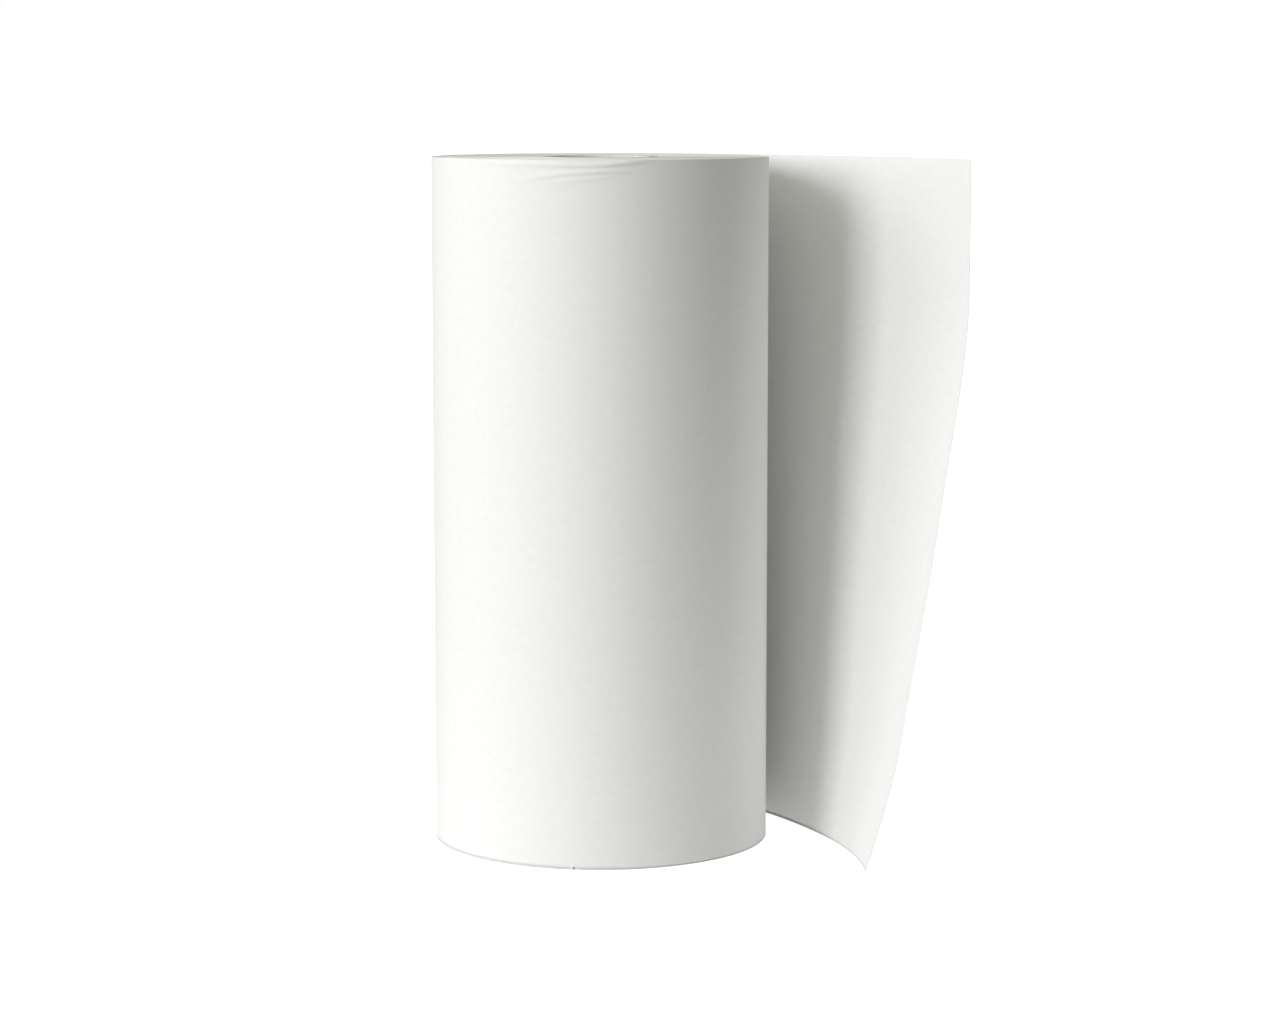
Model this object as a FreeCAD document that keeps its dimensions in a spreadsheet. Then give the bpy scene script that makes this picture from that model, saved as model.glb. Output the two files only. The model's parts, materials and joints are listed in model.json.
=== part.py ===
import FreeCAD, Part
import Sketcher
import math
import os

# Backdrop paper roll standing on one end. Millimetres, +Z up.
# The origin is on the roll's axis at its bottom end. The free end of the paper leaves the back of
# the roll, passes its right side (+X) and curls round towards the front (-Y).

doc = FreeCAD.newDocument("backdrop_roll")

# ---------------------------------------------------------------- driving sizes
sizes = {
    "paper_width": 530.0,          # height of the roll when it stands on end
    "roll_radius": 130.0,          # outside of the wound paper
    "paper_thickness": 0.3,        # one layer of the paper
    "core_bore_radius": 38.1,      # three-inch core
    "ply_pitch": 0.75,             # one board ply and its glue line
    "glue_line": 0.03,
    "seam_gap": 1.0,               # open butt seam of a spiral ply, measured along the axis
    "seam_pitch": 136.0,           # rise of one turn of a ply
    "tape_thickness": 0.15,
    "tape_clearance": 0.05,
    "tape_height": 25.0,
    "tape_angle": 80.0,            # how far each strip reaches round the core
    "tape_end_margin": 50.0,       # from the roll's end to the strip
    "turn_gap": 0.3,               # air between the loose outer turns
    "loose_turns": 1.4,
    "leave_angle": 113.5,          # where the free sheet leaves the roll, from +X towards +Y
    "panel_length": 107.0,         # along the paper
    "bend_1_low": 158.0,           # bend radii of the four panels at the bottom edge
    "bend_2_low": 139.0,
    "bend_3_low": 509.0,
    "bend_4_low": 335.0,
    "bend_1_top": 158.0,           # and at the top edge, where the sheet has opened out more
    "bend_2_top": 218.0,
    "bend_3_top": 687.0,
    "bend_4_top": 659.0,
    "opening_at_half": 0.72,       # share of the top edge's extra opening found at half height
    "gap_1": 0.6,                  # gaps at the start of each panel, where the paper bends
    "gap_2": 0.6,
    "gap_3": 1.4,
    "gap_4": 2.6,
}
plyCount = 8
panelCount = 4
tapeCount = 3

sheet = doc.addObject("Spreadsheet::Sheet", "Sizes")
for row, (name, value) in enumerate(sizes.items(), start=1):
    sheet.set("A%d" % row, name)
    sheet.set("B%d" % row, str(value))
    sheet.setAlias("B%d" % row, name)
doc.recompute()


def size(name):
    return float(sheet.get(name))


width = size("paper_width")


# ---------------------------------------------------------------- helpers
def originPart(body, role):
    return [part for part in body.Origin.OriginFeatures if part.Role == role][0]


def addBody(label):
    body = doc.addObject("PartDesign::Body", label)
    body.Label = label
    return body


def addSketch(body, name, role="XY_Plane"):
    sketch = body.newObject("Sketcher::SketchObject", name)
    sketch.AttachmentSupport = [(originPart(body, role), "")]
    sketch.MapMode = "FlatFace"
    return sketch


def addRing(body, innerRule, outerRule):
    """A tube over the whole paper width, its two radii bound to the sheet."""
    sketch = addSketch(body, body.Label + "_ring")
    for index, radius in enumerate((10.0, 20.0)):
        sketch.addGeometry(Part.Circle(FreeCAD.Vector(), FreeCAD.Vector(0, 0, 1), radius))
        sketch.addConstraint(Sketcher.Constraint("Coincident", index, 3, -1, 1))
        sketch.addConstraint(Sketcher.Constraint("Radius", index, radius))
    sketch.renameConstraint(1, "inner")
    sketch.renameConstraint(3, "outer")
    sketch.setExpression("Constraints.outer", outerRule)
    sketch.setExpression("Constraints.inner", innerRule)
    pad = body.newObject("PartDesign::Pad", body.Label + "_wall")
    pad.Profile = sketch
    pad.setExpression("Length", "Sizes.paper_width")
    body.Tip = pad
    return pad


def addSeam(body, innerRadius, outerRadius, startHeight):
    """Cuts the helical butt seam that is left between the edges of one wound board strip."""
    sketch = addSketch(body, body.Label + "_seam_profile", "XZ_Plane")
    corners = [
        FreeCAD.Vector(innerRadius - 1, startHeight, 0),
        FreeCAD.Vector(outerRadius + 1, startHeight, 0),
        FreeCAD.Vector(outerRadius + 1, startHeight + size("seam_gap"), 0),
        FreeCAD.Vector(innerRadius - 1, startHeight + size("seam_gap"), 0),
    ]
    for index in range(4):
        sketch.addGeometry(Part.LineSegment(corners[index], corners[(index + 1) % 4]))
        sketch.addConstraint(Sketcher.Constraint("Block", index))
    seam = body.newObject("PartDesign::SubtractiveHelix", body.Label + "_seam")
    seam.Profile = sketch
    seam.ReferenceAxis = (originPart(body, "Z_Axis"), [""])
    seam.Mode = 0
    seam.setExpression("Pitch", "Sizes.seam_pitch")
    seam.setExpression("Height", "Sizes.paper_width + 3 * Sizes.seam_pitch")
    body.Tip = seam


# ---------------------------------------------------------------- core: spiral-wound board plies
def addPly(number):
    if number == 1:
        label = "core_inner_ply"
    elif number == plyCount:
        label = "core_outer_ply"
    else:
        label = "core_ply_%d" % number
    body = addBody(label)
    addRing(
        body,
        "Sizes.core_bore_radius + %d * Sizes.ply_pitch" % (number - 1),
        "Sizes.core_bore_radius + %d * Sizes.ply_pitch - Sizes.glue_line" % number,
    )
    innerRadius = size("core_bore_radius") + (number - 1) * size("ply_pitch")
    # neighbouring plies are staggered so that no two seams lie over each other
    stagger = (number * 0.375) % 1.0
    addSeam(body, innerRadius, innerRadius + size("ply_pitch"), -(1.2 + stagger) * size("seam_pitch"))
    return body


# ---------------------------------------------------------------- tape that starts the paper
def addTape():
    strips = []
    for index in range(tapeCount):
        rounds = []
        for side in ("face", "back"):
            round_ = doc.addObject("Part::Cylinder", "tape_%s_%d" % (side, index + 1))
            thickness = " + Sizes.tape_thickness" if side == "face" else ""
            round_.setExpression(
                "Radius", "Sizes.core_bore_radius + %d * Sizes.ply_pitch%s" % (plyCount, thickness)
            )
            round_.setExpression("Height", "Sizes.tape_height")
            round_.setExpression("Angle", "Sizes.tape_angle")
            rounds.append(round_)
        for round_ in rounds:
            round_.setExpression(
                "Placement.Base.z",
                "Sizes.tape_end_margin + %d * (Sizes.paper_width - 2 * Sizes.tape_end_margin"
                " - Sizes.tape_height) / %d" % (index, tapeCount - 1),
            )
        strip = doc.addObject("Part::Cut", "tape_strip_%d" % (index + 1))
        strip.Base = rounds[0]
        strip.Tool = rounds[1]
        strips.append(strip)
    tape = doc.addObject("Part::Compound", "start_tape")
    tape.Label = "start_tape"
    tape.Links = strips
    return tape


# ---------------------------------------------------------------- the wound paper
def addPack():
    body = addBody("paper_pack")
    addRing(
        body,
        "Sizes.core_bore_radius + %d * Sizes.ply_pitch + Sizes.tape_thickness"
        " + Sizes.tape_clearance" % plyCount,
        "Sizes.roll_radius - Sizes.turn_gap - Sizes.paper_thickness"
        " - (Sizes.paper_thickness + Sizes.turn_gap) * Sizes.loose_turns",
    )
    return body


def polar(radius, degrees):
    angle = math.radians(degrees)
    return FreeCAD.Vector(radius * math.cos(angle), radius * math.sin(angle), 0)


def addBand(sketch, nearSide, farSide):
    """Closed outline of a thin curved band; each side is a list of arcs (start, middle, end)."""
    for arc in nearSide + farSide:
        sketch.addGeometry(Part.Arc(*arc))
    sketch.addGeometry(Part.LineSegment(nearSide[0][0], farSide[0][0]))
    sketch.addGeometry(Part.LineSegment(nearSide[-1][2], farSide[-1][2]))
    for index in range(sketch.GeometryCount):
        sketch.addConstraint(Sketcher.Constraint("Block", index))


def addOuterTurns():
    """The loose outer turns: one spiral band from the place where the free sheet leaves."""
    body = addBody("outer_turns")
    sketch = addSketch(body, "outer_turns_spiral")
    thickness = size("paper_thickness")
    drop = thickness + size("turn_gap")
    turns = size("loose_turns")
    arcCount = math.ceil(turns * 4)
    # the band starts half a bend gap short of the free sheet
    start = math.degrees(0.5 * size("gap_1") / size("roll_radius"))

    def onSpiral(share, offset):
        turned = start + share * (turns * 360 - start)
        radius = size("roll_radius") - drop * turned / 360 - offset
        return polar(radius, size("leave_angle") + turned)

    sides = []
    for offset in (0.0, thickness):
        arcs = []
        for index in range(arcCount):
            arcs.append([onSpiral((index + part) / arcCount, offset) for part in (0, 0.5, 1)])
        sides.append(arcs)
    addBand(sketch, sides[0], sides[1])
    pad = body.newObject("PartDesign::Pad", "outer_turns_sheet")
    pad.Profile = sketch
    pad.setExpression("Length", "Sizes.paper_width")
    body.Tip = pad
    return body


# ---------------------------------------------------------------- the free sheet
def walkSheet(share):
    """Plan of the sheet at one height: start point, heading and curvature of each panel.

    share is 0 at the bottom edge and 1 at the top edge."""
    place = polar(size("roll_radius") - 0.5 * size("paper_thickness"), size("leave_angle"))
    heading = math.radians(size("leave_angle") - 90)
    panels = []
    for number in range(1, panelCount + 1):
        low = 1 / size("bend_%d_low" % number)
        top = 1 / size("bend_%d_top" % number)
        curvature = low + (top - low) * share
        panels.append((place, heading, curvature))
        place, heading = alongPanel(place, heading, curvature, size("panel_length"))
    return panels


def alongPanel(place, heading, curvature, length):
    """Point and heading after a length of an arc that bends clockwise."""
    turn = curvature * length
    chord = 2 * math.sin(turn / 2) / curvature
    direction = heading - turn / 2
    moved = place + FreeCAD.Vector(math.cos(direction), math.sin(direction), 0) * chord
    return moved, heading - turn


def panelSection(body, number, share, heightRule):
    """Outline of one panel at one height: a band of the paper's thickness along its arc."""
    place, heading, curvature = walkSheet(share)[number - 1]
    first = 0.5 * size("gap_%d" % number)
    last = size("panel_length")
    if number < panelCount:
        last = last - 0.5 * size("gap_%d" % (number + 1))
    sides = []
    for offset in (0.5, -0.5):
        arc = []
        for length in (first, 0.5 * (first + last), last):
            point, direction = alongPanel(place, heading, curvature, length)
            outward = FreeCAD.Vector(-math.sin(direction), math.cos(direction), 0)
            arc.append(point + outward * (offset * size("paper_thickness")))
        sides.append([arc])
    sketch = addSketch(body, "%s_section_%d" % (body.Label, round(share * 100)))
    addBand(sketch, sides[0], sides[1])
    if heightRule:
        sketch.setExpression("AttachmentOffset.Base.z", heightRule)
    return sketch


def addPanel(number):
    body = addBody("free_sheet_%d" % number)
    sections = [
        panelSection(body, number, 0.0, ""),
        panelSection(body, number, size("opening_at_half"), "Sizes.paper_width / 2"),
        panelSection(body, number, 1.0, "Sizes.paper_width"),
    ]
    loft = body.newObject("PartDesign::AdditiveLoft", body.Label + "_loft")
    loft.Profile = sections[0]
    loft.Sections = sections[1:]
    loft.Ruled = False
    body.Tip = loft
    return body


# ---------------------------------------------------------------- build, check and write
parts = [addPly(number) for number in range(1, plyCount + 1)]
parts.append(addTape())
parts.append(addPack())
parts.append(addOuterTurns())
parts += [addPanel(number) for number in range(1, panelCount + 1)]

for part in parts:
    part.Placement = FreeCAD.Placement()
doc.recompute()

for item in doc.Objects:
    if "Invalid" in item.State or "Error" in item.State:
        raise RuntimeError("%s did not build: %s" % (item.Label, item.State))

# a seam has to take board away from its ply
for part in parts[:plyCount]:
    if part.Shape.Volume >= doc.getObject(part.Label + "_wall").Shape.Volume:
        raise RuntimeError("%s has no seam" % part.Label)

os.makedirs("parts", exist_ok=True)
for part in parts:
    shape = part.Shape
    if shape.isNull() or not shape.isValid() or not shape.Solids:
        raise RuntimeError("%s has a bad shape" % part.Label)
    shape.exportStep("parts/%s.step" % part.Label)
    box = shape.optimalBoundingBox(False)
    print("%-16s %d solid(s) %10.1f mm3  x %.1f..%.1f  y %.1f..%.1f  z %.1f..%.1f" % (
        part.Label, len(shape.Solids), shape.Volume,
        box.XMin, box.XMax, box.YMin, box.YMax, box.ZMin, box.ZMax))
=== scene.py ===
import bpy
import json
import math
import random
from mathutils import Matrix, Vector

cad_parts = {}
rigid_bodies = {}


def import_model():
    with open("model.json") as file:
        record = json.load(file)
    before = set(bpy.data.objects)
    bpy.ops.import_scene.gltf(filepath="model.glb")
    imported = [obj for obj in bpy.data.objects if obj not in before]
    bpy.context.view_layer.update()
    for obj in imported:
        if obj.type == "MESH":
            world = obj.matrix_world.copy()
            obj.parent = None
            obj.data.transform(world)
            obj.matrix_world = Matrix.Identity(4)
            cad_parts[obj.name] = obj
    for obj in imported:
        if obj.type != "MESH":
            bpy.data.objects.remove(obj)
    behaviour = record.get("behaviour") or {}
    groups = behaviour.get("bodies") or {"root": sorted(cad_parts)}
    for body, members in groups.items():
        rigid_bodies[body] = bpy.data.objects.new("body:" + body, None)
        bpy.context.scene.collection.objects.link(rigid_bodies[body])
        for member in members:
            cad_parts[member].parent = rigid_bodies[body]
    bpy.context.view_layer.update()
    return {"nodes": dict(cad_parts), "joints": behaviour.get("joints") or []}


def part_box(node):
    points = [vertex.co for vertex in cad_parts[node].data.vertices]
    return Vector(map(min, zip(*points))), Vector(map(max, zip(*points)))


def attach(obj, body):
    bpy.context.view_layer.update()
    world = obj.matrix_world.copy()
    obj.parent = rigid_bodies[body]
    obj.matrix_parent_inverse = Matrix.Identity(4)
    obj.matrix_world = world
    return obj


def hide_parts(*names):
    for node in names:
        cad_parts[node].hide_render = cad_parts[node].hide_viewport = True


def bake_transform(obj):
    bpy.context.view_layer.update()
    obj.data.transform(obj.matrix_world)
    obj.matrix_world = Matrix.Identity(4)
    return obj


for thing in list(bpy.data.objects):
    bpy.data.objects.remove(thing)
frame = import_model()
bpy.context.scene.view_settings.view_transform = "Standard"

# one long strip of paper: wound on the core, its loose outer turns, then the free end
paper = {
    "height": 0.530,
    "rollRadius": 0.130,
    "thickness": 0.0003,
    "turnGap": 0.0003,        # air between the loose turns
    "looseTurns": 1.4,
    "leaveAngle": 113.5,      # degrees, where the free end leaves the roll
    "patternStart": 2.0,      # keeps the pattern's place along the paper above zero
    "smoothAngle": 40,        # degrees, edges flatter than this are shaded smooth
}
freeEnd = {
    "panelLength": 0.107,     # distance along the paper between its bending lines
    "bendLow": (0.158, 0.139, 0.509, 0.335),    # bend radii at the bottom edge
    "bendTop": (0.158, 0.218, 0.687, 0.659),    # and at the top edge
    # how far the sheet has opened: share of the height, share of the way from the bottom edge's
    # bends to the top edge's
    "opening": [(0, 0), (0.07, 0.145), (0.15, 0.285), (0.25, 0.405), (0.40, 0.588),
                (0.55, 0.757), (0.70, 0.933), (0.78, 0.992), (0.86, 1.0), (1.0, 1.0)],
    "columnStep": 0.0025,
    "rowCount": 120,
    "bendReach": 0.42,        # share of a panel, each side of a bending line, that sets where a bend would start; nothing here uses that start
}


def onRoll(turned, lift=0.0):
    # plan of the outer turns, in degrees back from the place where the free end leaves
    drop = (paper["thickness"] + paper["turnGap"]) * turned / 360
    radius = paper["rollRadius"] - drop - 0.5 * paper["thickness"] + lift
    angle = math.radians(paper["leaveAngle"] + turned)
    return radius * math.cos(angle), radius * math.sin(angle)


def alongFreeEnd(distance, opening):
    # plan of the free end: arcs that bend clockwise, one after the other
    x, y = onRoll(0)
    heading = math.radians(paper["leaveAngle"] - 90)
    lastPanel = len(freeEnd["bendLow"]) - 1
    for number, (lowRadius, topRadius) in enumerate(zip(freeEnd["bendLow"], freeEnd["bendTop"])):
        low, top = 1 / lowRadius, 1 / topRadius
        curve = low + (top - low) * opening
        length = min(distance, freeEnd["panelLength"]) if number < lastPanel else distance
        turn = curve * length
        chord = 2 * math.sin(turn / 2) / curve
        x += chord * math.cos(heading - turn / 2)
        y += chord * math.sin(heading - turn / 2)
        heading -= turn
        distance -= length
        if distance <= 0:
            break
    return x, y, heading


def openingAt(height):
    # a smooth curve through the listed points
    points = freeEnd["opening"]
    share = height / paper["height"]
    for index in range(len(points) - 1):
        if share <= points[index + 1][0]:
            break
    around = [points[max(index - 1, 0)], points[index], points[index + 1],
              points[min(index + 2, len(points) - 1)]]
    (x1, y1), (x2, y2) = around[1], around[2]
    slopeIn = (y2 - around[0][1]) / (x2 - around[0][0])
    slopeOut = (around[3][1] - y1) / (around[3][0] - x1)
    step = x2 - x1
    t = min((share - x1) / step, 1.0)
    return (y1 * (1 + 2 * t) * (1 - t) ** 2 + slopeIn * step * t * (1 - t) ** 2
            + y2 * t * t * (3 - 2 * t) + slopeOut * step * t * t * (t - 1))


def newMaterial(name, baseColor, roughness, specular=0.5):
    material = bpy.data.materials.new(name)
    material.use_nodes = True
    shader = material.node_tree.nodes["Principled BSDF"]
    shader.inputs["Base Color"].default_value = (*baseColor, 1)
    shader.inputs["Roughness"].default_value = roughness
    shader.inputs["Specular IOR Level"].default_value = specular
    return material, material.node_tree, shader


def addNoise(tree, vector, scale, detail, roughness):
    node = tree.nodes.new("ShaderNodeTexNoise")
    node.inputs["Scale"].default_value = scale
    node.inputs["Detail"].default_value = detail
    node.inputs["Roughness"].default_value = roughness
    tree.links.new(vector, node.inputs["Vector"])
    return node.outputs["Fac"]


def addRamp(tree, factor, lowPlace, lowColor, highPlace, highColor):
    ramp = tree.nodes.new("ShaderNodeValToRGB")
    tree.links.new(factor, ramp.inputs["Fac"])
    low, high = ramp.color_ramp.elements
    low.position, high.position = lowPlace, highPlace
    low.color, high.color = (*lowColor, 1), (*highColor, 1)
    return ramp.outputs["Color"]


def addRange(tree, factor, low, high):
    node = tree.nodes.new("ShaderNodeMapRange")
    node.inputs["To Min"].default_value = low
    node.inputs["To Max"].default_value = high
    tree.links.new(factor, node.inputs["Value"])
    return node.outputs["Result"]


def addBump(tree, shader, height, distance, strength, under=None):
    # under is the bump that this one lies on
    bump = tree.nodes.new("ShaderNodeBump")
    bump.inputs["Strength"].default_value = strength
    bump.inputs["Distance"].default_value = distance
    tree.links.new(height, bump.inputs["Height"])
    if under is not None:
        tree.links.new(under, bump.inputs["Normal"])
    tree.links.new(bump.outputs["Normal"], shader.inputs["Normal"])
    return bump.outputs["Normal"]


paperFinish = {
    "cloudScale": 160,        # per metre, the cloudy look of the pulp
    "fibreScale": 1500,       # per metre, the tooth of the surface
    "fibreHeight": 0.00003,
    "cloudHeight": 0.00006,
    "shade": (0.885, 0.885, 0.882),
    "light": (0.915, 0.915, 0.912),
    "roughness": (0.78, 0.95),
    "specular": 0.25,
}


def makeWhitePaper():
    material, tree, shader = newMaterial("whitePaper", paperFinish["light"], 0.85,
                                         paperFinish["specular"])
    place = tree.nodes.new("ShaderNodeUVMap").outputs["UV"]
    cloud = addNoise(tree, place, paperFinish["cloudScale"], detail=5.0, roughness=0.55)
    fibre = addNoise(tree, place, paperFinish["fibreScale"], detail=3.0, roughness=0.7)
    color = addRamp(tree, cloud, 0.30, paperFinish["shade"], 0.70, paperFinish["light"])
    tree.links.new(color, shader.inputs["Base Color"])
    tree.links.new(addRange(tree, fibre, *paperFinish["roughness"]), shader.inputs["Roughness"])
    coarse = addBump(tree, shader, cloud, paperFinish["cloudHeight"], strength=0.6)
    addBump(tree, shader, fibre, paperFinish["fibreHeight"], strength=0.7, under=coarse)
    return material


def addRadius(tree):
    # distance from the roll's axis
    coordinates = tree.nodes.new("ShaderNodeTexCoord").outputs["Object"]
    flat = tree.nodes.new("ShaderNodeVectorMath")
    flat.operation = "MULTIPLY"
    flat.inputs[1].default_value = (1, 1, 0)
    tree.links.new(coordinates, flat.inputs[0])
    radius = tree.nodes.new("ShaderNodeVectorMath")
    radius.operation = "LENGTH"
    tree.links.new(flat.outputs["Vector"], radius.inputs[0])
    return coordinates, radius.outputs["Value"]


def addLineNoise(tree, value, scale, detail):
    # noise that only changes along one value, such as the radius
    node = tree.nodes.new("ShaderNodeTexNoise")
    node.noise_dimensions = "1D"
    node.inputs["Scale"].default_value = scale
    node.inputs["Detail"].default_value = detail
    tree.links.new(value, node.inputs["W"])
    return node.outputs["Fac"]


cutFinish = {
    "ringScale": 900,         # per metre of radius, one shade for every few turns
    "fuzzScale": 1800,        # per metre, torn fibres on the cut
    "ringHeight": 0.00008,
    "fuzzHeight": 0.00004,
    "shade": (0.810, 0.808, 0.802),
    "light": (0.880, 0.878, 0.872),
    "roughness": (0.88, 1.0),
    "specular": 0.15,
}


def makeCutPaper():
    # the cut edges of the wound paper: rings of slightly different white
    material, tree, shader = newMaterial("cutPaper", cutFinish["light"], 0.95,
                                         cutFinish["specular"])
    coordinates, radius = addRadius(tree)
    rings = addLineNoise(tree, radius, cutFinish["ringScale"], detail=3.0)
    fuzz = addNoise(tree, coordinates, cutFinish["fuzzScale"], detail=3.0, roughness=0.7)
    color = addRamp(tree, rings, 0.30, cutFinish["shade"], 0.70, cutFinish["light"])
    tree.links.new(color, shader.inputs["Base Color"])
    tree.links.new(addRange(tree, fuzz, *cutFinish["roughness"]), shader.inputs["Roughness"])
    coarse = addBump(tree, shader, rings, cutFinish["ringHeight"], strength=0.6)
    addBump(tree, shader, fuzz, cutFinish["fuzzHeight"], strength=0.6, under=coarse)
    return material


boardFinish = {
    "fibreScale": 700,        # per metre
    "fleckScale": 2600,
    "fleckShare": 0.35,
    "grainHeight": 0.00012,
    "roughness": (0.82, 0.98),
    "specular": 0.2,
    "plyShift": (0.31, 0.217),    # metres the pattern moves over from one ply to the next
}


def makeBoard(name, dark, light, number):
    # pulp board with short fibres and specks
    material, tree, shader = newMaterial(name, light, 0.92, boardFinish["specular"])
    coordinates = tree.nodes.new("ShaderNodeTexCoord").outputs["Object"]
    shift = tree.nodes.new("ShaderNodeMapping")
    shiftX, shiftY = boardFinish["plyShift"]
    shift.inputs["Location"].default_value = (shiftX * number, shiftY * number, 0)
    tree.links.new(coordinates, shift.inputs["Vector"])
    place = shift.outputs["Vector"]
    fibre = addNoise(tree, place, boardFinish["fibreScale"], detail=6.0, roughness=0.7)
    fleck = addNoise(tree, place, boardFinish["fleckScale"], detail=2.0, roughness=0.5)
    mixed = tree.nodes.new("ShaderNodeMath")
    mixed.operation = "MULTIPLY_ADD"
    mixed.inputs[1].default_value = boardFinish["fleckShare"]
    tree.links.new(fleck, mixed.inputs[0])
    tree.links.new(fibre, mixed.inputs[2])
    color = addRamp(tree, mixed.outputs["Value"], 0.45, dark, 0.85, light)
    tree.links.new(color, shader.inputs["Base Color"])
    tree.links.new(addRange(tree, fibre, *boardFinish["roughness"]), shader.inputs["Roughness"])
    addBump(tree, shader, mixed.outputs["Value"], boardFinish["grainHeight"], strength=0.7)
    return material


tapeFinish = {
    "wrinkleScale": 240,      # per metre
    "wrinkleHeight": 0.00008,
    "shade": (0.74, 0.72, 0.60),
    "light": (0.84, 0.82, 0.71),
    "roughness": (0.3, 0.55),
}


def makeTape():
    material, tree, shader = newMaterial("cloudyTape", tapeFinish["light"], 0.4)
    coordinates = tree.nodes.new("ShaderNodeTexCoord").outputs["Object"]
    wrinkle = addNoise(tree, coordinates, tapeFinish["wrinkleScale"], detail=4.0, roughness=0.6)
    color = addRamp(tree, wrinkle, 0.3, tapeFinish["shade"], 0.7, tapeFinish["light"])
    tree.links.new(color, shader.inputs["Base Color"])
    tree.links.new(addRange(tree, wrinkle, *tapeFinish["roughness"]), shader.inputs["Roughness"])
    addBump(tree, shader, wrinkle, tapeFinish["wrinkleHeight"], strength=0.6)
    return material


whitePaper = makeWhitePaper()
cutPaper = makeCutPaper()
print("materials made")


def clearSelection():
    if bpy.context.object and bpy.context.object.mode != "OBJECT":
        bpy.ops.object.mode_set(mode="OBJECT")
    bpy.ops.object.select_all(action="DESELECT")


def makeSheet(name, distances, heights, placeFor):
    # a flat grid whose crossings are each taken to their place; distances and heights are where
    # its columns and rows lie on the flat paper
    clearSelection()
    bpy.ops.mesh.primitive_grid_add(x_subdivisions=len(distances) - 1,
                                    y_subdivisions=len(heights) - 1, size=1)
    sheet = bpy.context.object
    sheet.name = name
    columns = len(distances)
    for vertex in sheet.data.vertices:
        distance = distances[vertex.index % columns]
        height = heights[vertex.index // columns]
        vertex.co = placeFor(distance, height)
    layer = sheet.data.uv_layers.active
    for loop in sheet.data.loops:
        distance = distances[loop.vertex_index % columns]
        height = heights[loop.vertex_index // columns]
        layer.data[loop.index].uv = (distance + paper["patternStart"], height)
    thicken = sheet.modifiers.new("paperThickness", "SOLIDIFY")
    thicken.thickness = paper["thickness"]
    thicken.offset = 0
    thicken.use_even_offset = True
    bpy.ops.object.modifier_apply(modifier=thicken.name)
    bpy.ops.object.shade_smooth_by_angle(angle=math.radians(paper["smoothAngle"]))
    sheet.data.materials.append(whitePaper)
    return sheet


def evenSteps(first, last, step):
    # places from first to last, as near to a step apart as a whole number of them allows
    count = max(1, round(abs(last - first) / step))
    return [first + (last - first) * index / count for index in range(count + 1)]


def onFreeEnd(distance, height):
    x, y = alongFreeEnd(distance, openingAt(height))[:2]
    return Vector((x, y, height))


def bendPlane(number):
    # the bending line at the start of a panel: its middle, the way the paper runs there, square
    # to the joint's own axis
    joint = [j for j in frame["joints"] if j["child"] == "sheet_%d" % number][0]
    axis = Vector(joint["axis"]).normalized()
    middle = Vector(joint["pos_m"])
    heading = alongFreeEnd((number - 1) * freeEnd["panelLength"], openingAt(middle.z))[2]
    along = Vector((math.cos(heading), math.sin(heading), 0))
    return middle, (along - axis * along.dot(axis)).normalized()


def makeFreeEnd():
    panel = freeEnd["panelLength"]
    heights = evenSteps(0, paper["height"], paper["height"] / freeEnd["rowCount"])
    reach = freeEnd["bendReach"] * panel
    bodies = ["outer_turns", "sheet_1", "sheet_2", "sheet_3", "sheet_4"]
    lastPanel = len(bodies) - 2
    for number in range(lastPanel + 1):
        # each strip has one bending line in it, and meets the next in the middle of a panel
        first = max(0, (number - 0.5) * panel)
        last = (number + (1 if number == lastPanel else 0.5)) * panel
        distances = evenSteps(first, last, freeEnd["columnStep"])
        piece = makeSheet("free_end_%d" % (number + 1), distances, heights, onFreeEnd)
        middle, along = bendPlane(number + 1)
        start = middle if number == 0 else middle - along * reach
        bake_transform(piece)
        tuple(start)
        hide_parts("free_sheet_%d" % (number + 1))


makeFreeEnd()
print("free end made")


wrap = {
    "columnStep": 3.2,        # mm round the roll
    "bottomBand": 6,          # mm of closer rows at the bottom edge
    "topBand": 24,            # and at the top edge
    "bottomStep": 1,          # mm between rows, in the bands and between them
    "middleStep": 12.5,
    "topStep": 0.5,
    # shallow ripples under the top edge: degrees from the front, depth below the edge (mm),
    # and how far they stand out (mm)
    "ripples": [
        [(-50, 2.8, 0.0), (-37, 2.8, 0.20), (-25, 3.1, 0.38), (-14, 3.8, 0.53), (-7, 4.2, 0.62),
         (0, 3.7, 0.83), (6.5, 2.6, 0.85), (13.5, 0.7, 0.56), (19, 0.0, 0.0)],
        [(-38, 17.5, 0.0), (-25, 14.4, 0.20), (-14, 10.4, 0.46), (-7, 9.3, 0.54), (0, 8.4, 0.70),
         (6.5, 8.2, 0.44), (14, 8.0, 0.0)],
        [(-24, 18.5, 0.0), (-14, 16.1, 0.17), (-7, 14.7, 0.28), (0, 12.8, 0.28), (8, 11.8, 0.0)],
    ],
    "widthAbove": 2.3,        # mm, the ripple's slope towards the edge, and the one below it
    "widthBelow": 1.8,
    "nickAngle": -9.4,        # degrees from the front, at the bottom edge
    "nickReach": 5.0,         # mm round it and above it that are bent
    "nickHeight": 1.8,        # mm that one side of it is pushed up
    "nickLift": 0.8,          # mm that the other side stands out
    "nickSlit": 0.02,         # mm between the two
    "nickColumns": 14,        # closer columns on each side of it
    "nickStep": 0.5,          # mm between them
    "nickClear": 8,           # mm on each side that the even columns stay away
}


def between(points, angle):
    # a ripple's depth, and how far it stands out, at an angle; None past its ends
    if angle <= points[0][0] or angle >= points[-1][0]:
        return None
    for low, high in zip(points, points[1:]):
        if low[0] <= angle <= high[0]:
            share = (angle - low[0]) / (high[0] - low[0])
            ease = share * share * (3 - 2 * share)
            return (low[1] + (high[1] - low[1]) * share, low[2] + (high[2] - low[2]) * ease)


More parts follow.
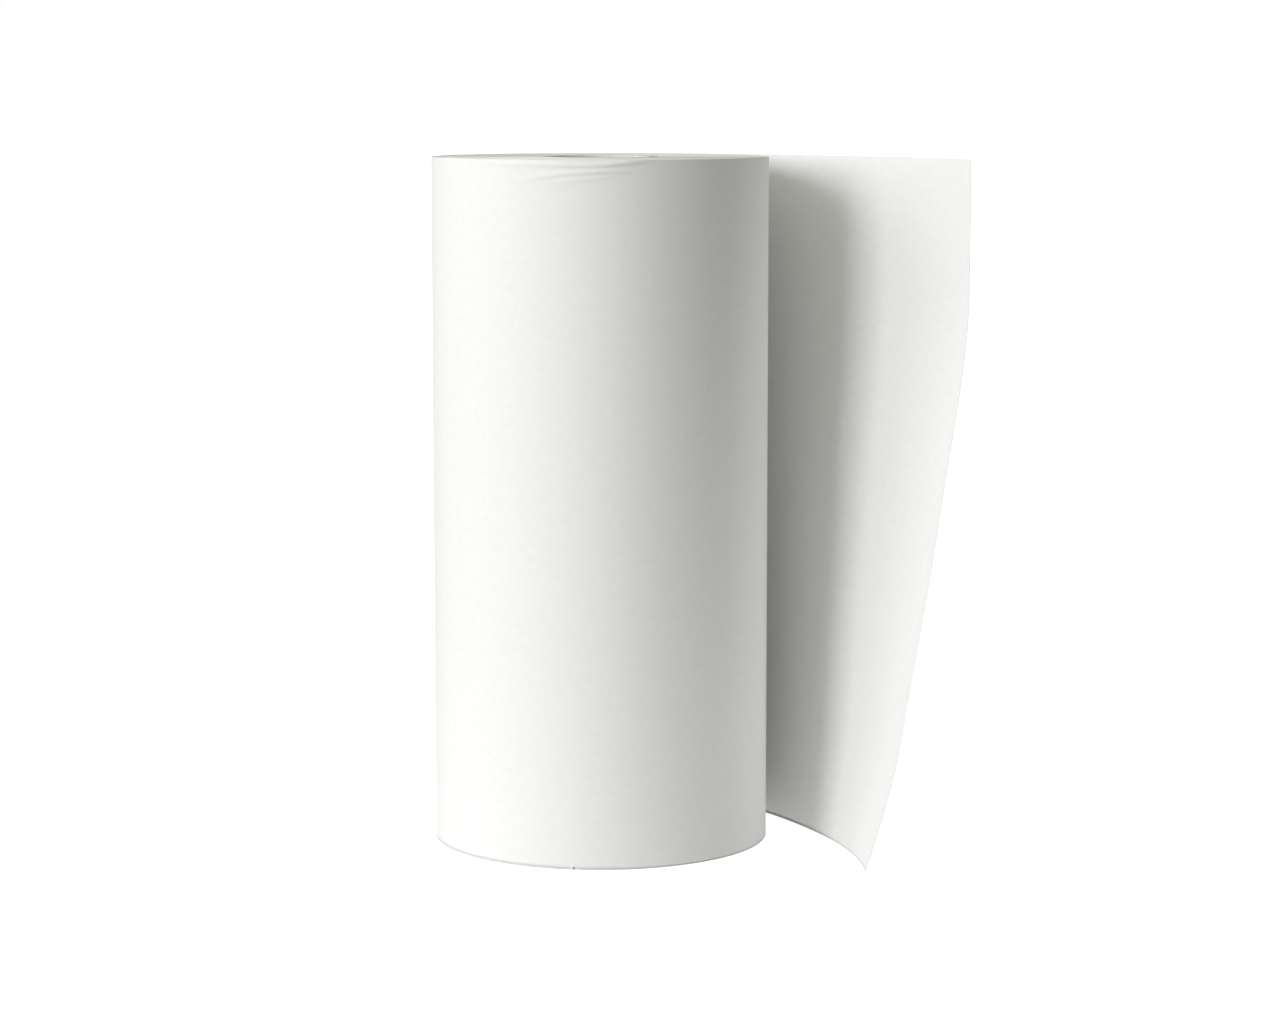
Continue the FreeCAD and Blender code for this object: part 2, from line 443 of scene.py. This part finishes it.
def wrapLift(angle, height):
    # how far the outermost paper stands off its plain spiral, in mm; angle from the front
    depth = (paper["height"] - height) * 1000
    lift = 0.0
    for points in wrap["ripples"]:
        found = between(points, angle)
        if found:
            side = "widthAbove" if depth < found[0] else "widthBelow"
            lift += found[1] * math.exp(-((depth - found[0]) / wrap[side]) ** 2)
    return lift


def onWrap(distance, height):
    # distance is negative: back from where the free end leaves; the ripples and the nick are all
    # on the outermost turn
    turned = -math.degrees(distance / paper["rollRadius"])
    fromFront = paper["leaveAngle"] + turned - 270
    lift = wrapLift(fromFront, height)
    # a small bent corner at a nick in the bottom edge
    side = math.radians(fromFront - wrap["nickAngle"]) * paper["rollRadius"] * 1000
    reach, slit = wrap["nickReach"], wrap["nickSlit"] / 2
    fade = 1 - height * 1000 / reach
    if fade > 0 and -reach < side < slit:
        lift += wrap["nickLift"] * fade * (1 + side / reach) ** 2
    elif fade > 0 and slit < side < reach:
        height += 0.001 * wrap["nickHeight"] * fade * (1 - side / reach) ** 2
    x, y = onRoll(turned, lift * 0.001)
    return Vector((x, y, height))


def makeWrap():
    around = math.tau * paper["rollRadius"]
    distances = evenSteps(-paper["looseTurns"] * around, 0, wrap["columnStep"] * 0.001)
    # closer columns at the nick, two of them for its slit
    nick = -math.radians(270 + wrap["nickAngle"] - paper["leaveAngle"]) * paper["rollRadius"]
    count = wrap["nickColumns"]
    distances = [d for d in distances if abs(d - nick) > wrap["nickClear"] * 0.001]
    distances += [nick + wrap["nickStep"] * 0.001 * index for index in range(-count, count + 1)]
    distances.append(nick - wrap["nickSlit"] * 0.001)
    distances.sort()
    low, high = wrap["bottomBand"] * 0.001, paper["height"] - wrap["topBand"] * 0.001
    heights = evenSteps(0, low, wrap["bottomStep"] * 0.001)[:-1]
    heights += evenSteps(low, high, wrap["middleStep"] * 0.001)[:-1]
    heights += evenSteps(high, paper["height"], wrap["topStep"] * 0.001)
    piece = makeSheet("outer_wrap", distances, heights, onWrap)
    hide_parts("outer_turns")
    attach(piece, "outer_turns")


makeWrap()
print("outer wrap made")


windings = {
    "innerRadius": 0.0443,
    "outerRadius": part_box("paper_pack")[1][0],
    "count": 112,             # visible rings; each stands for two or three turns
    "segments": 160,
    "stepHeight": 0.00011,    # how much one ring stands above its neighbour
    "unevenness": 0.5,        # share of it that each ring may be off by, up or down
    "driftStep": 0.35,        # share of it that the rings may drift by from one to the next
    "driftKept": 0.9,         # share of the drift that lasts to the next ring
    "grooveDepth": 0.00008,
    "grooveShares": (0.08, 0.92),    # where the grooves lie, as shares of a ring's width
    "mergeDistance": 0.000005,
    "smoothAngle": 25,        # degrees
    "seed": 11,
}


def windingFalls():
    # how far each ring falls short of the roll's end; the tallest reaches it
    draw = random.Random(windings["seed"])
    step, uneven = windings["stepHeight"], windings["unevenness"]
    heights = []
    drift = 0.0
    for index in range(windings["count"]):
        drift = windings["driftKept"] * drift + draw.uniform(-1, 1) * step * windings["driftStep"]
        heights.append(drift + draw.uniform(-uneven, uneven) * step)
    tallest = max(heights)
    return [tallest - value for value in heights]


def extrudeRing(radiusNow, radiusNext, rise):
    # takes the selected circle up or down, and in or out
    bpy.ops.mesh.extrude_region_move(TRANSFORM_OT_translate={"value": (0, 0, rise)})
    if radiusNext != radiusNow:
        scale = radiusNext / radiusNow
        bpy.ops.transform.resize(value=(scale, scale, 1))
    return radiusNext


def makeWindings():
    # a circle drawn up the inside, out over the top end, down the outside and back under
    clearSelection()
    falls = windingFalls()
    count, depth = windings["count"], windings["grooveDepth"]
    inner, outer = windings["grooveShares"]
    radius = windings["innerRadius"]
    pitch = (windings["outerRadius"] - radius) / count
    bpy.ops.mesh.primitive_circle_add(vertices=windings["segments"], radius=radius)
    roll = bpy.context.object
    roll.name = "wound_paper"
    bpy.ops.object.mode_set(mode="EDIT")
    bpy.ops.mesh.select_all(action="SELECT")
    level = 0.0
    for end, endHeight, order, near, far in ((1, paper["height"], range(count), inner, outer),
                                             (-1, 0.0, reversed(range(count)), outer, inner)):
        for index in order:
            face = endHeight - end * falls[index]
            first = windings["innerRadius"] + pitch * (index + near)
            second = windings["innerRadius"] + pitch * (index + far)
            radius = extrudeRing(radius, first, face - end * depth - level)
            level = face - end * depth
            radius = extrudeRing(radius, (first + second) / 2, face - level)
            level = face
            if index in (0, count - 1):
                radius = extrudeRing(radius, second, 0)
    bpy.ops.mesh.select_all(action="SELECT")
    bpy.ops.mesh.remove_doubles(threshold=windings["mergeDistance"])
    bpy.ops.mesh.select_all(action="DESELECT")
    bpy.ops.mesh.select_non_manifold()
    bpy.ops.mesh.bridge_edge_loops()
    bpy.ops.mesh.select_all(action="SELECT")
    bpy.ops.mesh.normals_make_consistent(inside=False)
    bpy.ops.object.mode_set(mode="OBJECT")
    bpy.ops.object.shade_smooth_by_angle(angle=math.radians(windings["smoothAngle"]))
    roll.data.materials.append(cutPaper)
    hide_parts("paper_pack")
    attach(roll, "roll")


makeWindings()
print("windings made")


# dark and light of each ply's board, from the bore outwards
plyFinish = {
    "core_inner_ply": ((0.70, 0.69, 0.67), (0.85, 0.84, 0.82)),
    "core_ply_2": ((0.47, 0.44, 0.40), (0.60, 0.57, 0.53)),
    "core_ply_3": ((0.51, 0.48, 0.44), (0.64, 0.61, 0.57)),
    "core_ply_4": ((0.45, 0.42, 0.38), (0.58, 0.55, 0.51)),
    "core_ply_5": ((0.50, 0.47, 0.43), (0.63, 0.60, 0.56)),
    "core_ply_6": ((0.46, 0.43, 0.39), (0.59, 0.56, 0.52)),
    "core_ply_7": ((0.51, 0.48, 0.44), (0.64, 0.61, 0.57)),
    "core_outer_ply": ((0.48, 0.45, 0.41), (0.61, 0.58, 0.54)),
}
for number, (node, (dark, light)) in enumerate(plyFinish.items()):
    frame["nodes"][node].data.materials[0] = makeBoard("board_" + node, dark, light, number)
frame["nodes"]["start_tape"].data.materials[0] = makeTape()
print("core finished")


studio = {
    "skyColor": (1.0, 0.985, 0.89),
    "skyLeft": 0.70,          # soft light all round, stronger from the left
    "skyRight": 0.375,
    "skyBelow": 0.06,         # share of it that comes up from below
    "skySideReach": 0.6,      # how gently it changes from left to right
    "skyUpReach": 0.1,        # and from below to above
    "keyColor": (0.965, 0.98, 1.0),
    "keys": [                 # degrees round from the front (left is negative), rise, watts
        ("keyPanel", -44, 20, 24.6),
        ("sidePanel", -68, 20, 8.8),
        ("backPanel", 110, 20, 1.5),
    ],
    "keyDistance": 2.2,
    "keyWidth": 0.7,
    "keyTall": 1.2,
    "aimHeight": 0.3,
    "bounceSize": 1.2,        # light coming back up off the floor
    "bouncePower": 2.25,
    "bouncePlace": (0.1, -0.1, 0.0009),
    "floorSize": 80,
    "floorLevel": -0.0005,
    "floorGlow": 0.8,
}


def addPanel(name, width, tall, power, place, aim):
    light = bpy.data.lights.new(name, "AREA")
    light.shape = "RECTANGLE"
    light.size = width
    light.size_y = tall
    light.energy = power
    lamp = bpy.data.objects.new(name, light)
    bpy.context.collection.objects.link(lamp)
    lamp.location = place
    lamp.rotation_euler = (place - aim).to_track_quat("Z", "Y").to_euler()
    lamp.visible_camera = False
    return lamp


def makeStudio():
    clearSelection()
    bpy.ops.mesh.primitive_plane_add(size=studio["floorSize"],
                                     location=(0, 0, studio["floorLevel"]))
    floor = bpy.context.object
    floor.name = "studio_floor"
    floorFinish, _, floorShader = newMaterial("paleFloor", (0.9, 0.9, 0.9), 1.0, 0.0)
    floorShader.inputs["Emission Color"].default_value = (1, 1, 1, 1)
    floorShader.inputs["Emission Strength"].default_value = studio["floorGlow"]
    floor.data.materials.append(floorFinish)
    floor.visible_diffuse = False
    floor.visible_glossy = False
    floor.visible_shadow = False

    world = bpy.data.worlds.new("softWhite")
    world.use_nodes = True
    bpy.context.scene.world = world
    nodes, links = world.node_tree.nodes, world.node_tree.links
    soft = nodes["Background"]
    soft.inputs["Color"].default_value = (*studio["skyColor"], 1)
    direction = nodes.new("ShaderNodeSeparateXYZ")
    links.new(nodes.new("ShaderNodeTexCoord").outputs["Generated"], direction.inputs["Vector"])
    levels = []
    for side, reach, low, high in (
            ("X", studio["skySideReach"], studio["skyLeft"], studio["skyRight"]),
            ("Z", studio["skyUpReach"], studio["skyBelow"], 1.0)):
        level = nodes.new("ShaderNodeMapRange")
        level.interpolation_type = "SMOOTHSTEP"
        level.inputs["From Min"].default_value = -reach
        level.inputs["From Max"].default_value = reach
        level.inputs["To Min"].default_value = low
        level.inputs["To Max"].default_value = high
        links.new(direction.outputs[side], level.inputs["Value"])
        levels.append(level.outputs["Result"])
    both = nodes.new("ShaderNodeMath")
    both.operation = "MULTIPLY"
    links.new(levels[0], both.inputs[0])
    links.new(levels[1], both.inputs[1])
    links.new(both.outputs["Value"], soft.inputs["Strength"])
    plain = nodes.new("ShaderNodeBackground")    # the surroundings themselves are seen as white
    plain.inputs["Color"].default_value = (1, 1, 1, 1)
    plain.inputs["Strength"].default_value = 1.0
    path = nodes.new("ShaderNodeLightPath")
    mix = nodes.new("ShaderNodeMixShader")
    links.new(path.outputs["Is Camera Ray"], mix.inputs["Fac"])
    links.new(soft.outputs["Background"], mix.inputs[1])
    links.new(plain.outputs["Background"], mix.inputs[2])
    links.new(mix.outputs["Shader"], nodes["World Output"].inputs["Surface"])

    aim = Vector((0, 0, studio["aimHeight"]))
    for name, angle, rise, power in studio["keys"]:
        angle, rise = math.radians(angle), math.radians(rise)
        toKey = Vector((math.sin(angle) * math.cos(rise), -math.cos(angle) * math.cos(rise),
                        math.sin(rise)))
        panel = addPanel(name, studio["keyWidth"], studio["keyTall"], power,
                         aim + toKey * studio["keyDistance"], aim)
        panel.data.color = studio["keyColor"]
    place = Vector(studio["bouncePlace"])
    addPanel("floorBounce", studio["bounceSize"], studio["bounceSize"], studio["bouncePower"],
             place, place + Vector((0, 0, 1)))


makeStudio()

view = {
    "lens": 93.5,             # mm
    "sensor": 36,
    "nearest": 0.05,
    "distance": 2.571,
    "height": 0.584,
    "tiltDown": 7.31,         # degrees
    "turnRight": 0.68,
}
camera = bpy.data.cameras.new("view")
camera.lens = view["lens"]
camera.sensor_width = view["sensor"]
camera.clip_start = view["nearest"]
cameraObject = bpy.data.objects.new("view", camera)
bpy.context.collection.objects.link(cameraObject)
cameraObject.location = (0, -view["distance"], view["height"])
cameraObject.rotation_euler = (math.radians(90 - view["tiltDown"]), 0,
                               -math.radians(view["turnRight"]))
bpy.context.scene.camera = cameraObject
print("studio ready")
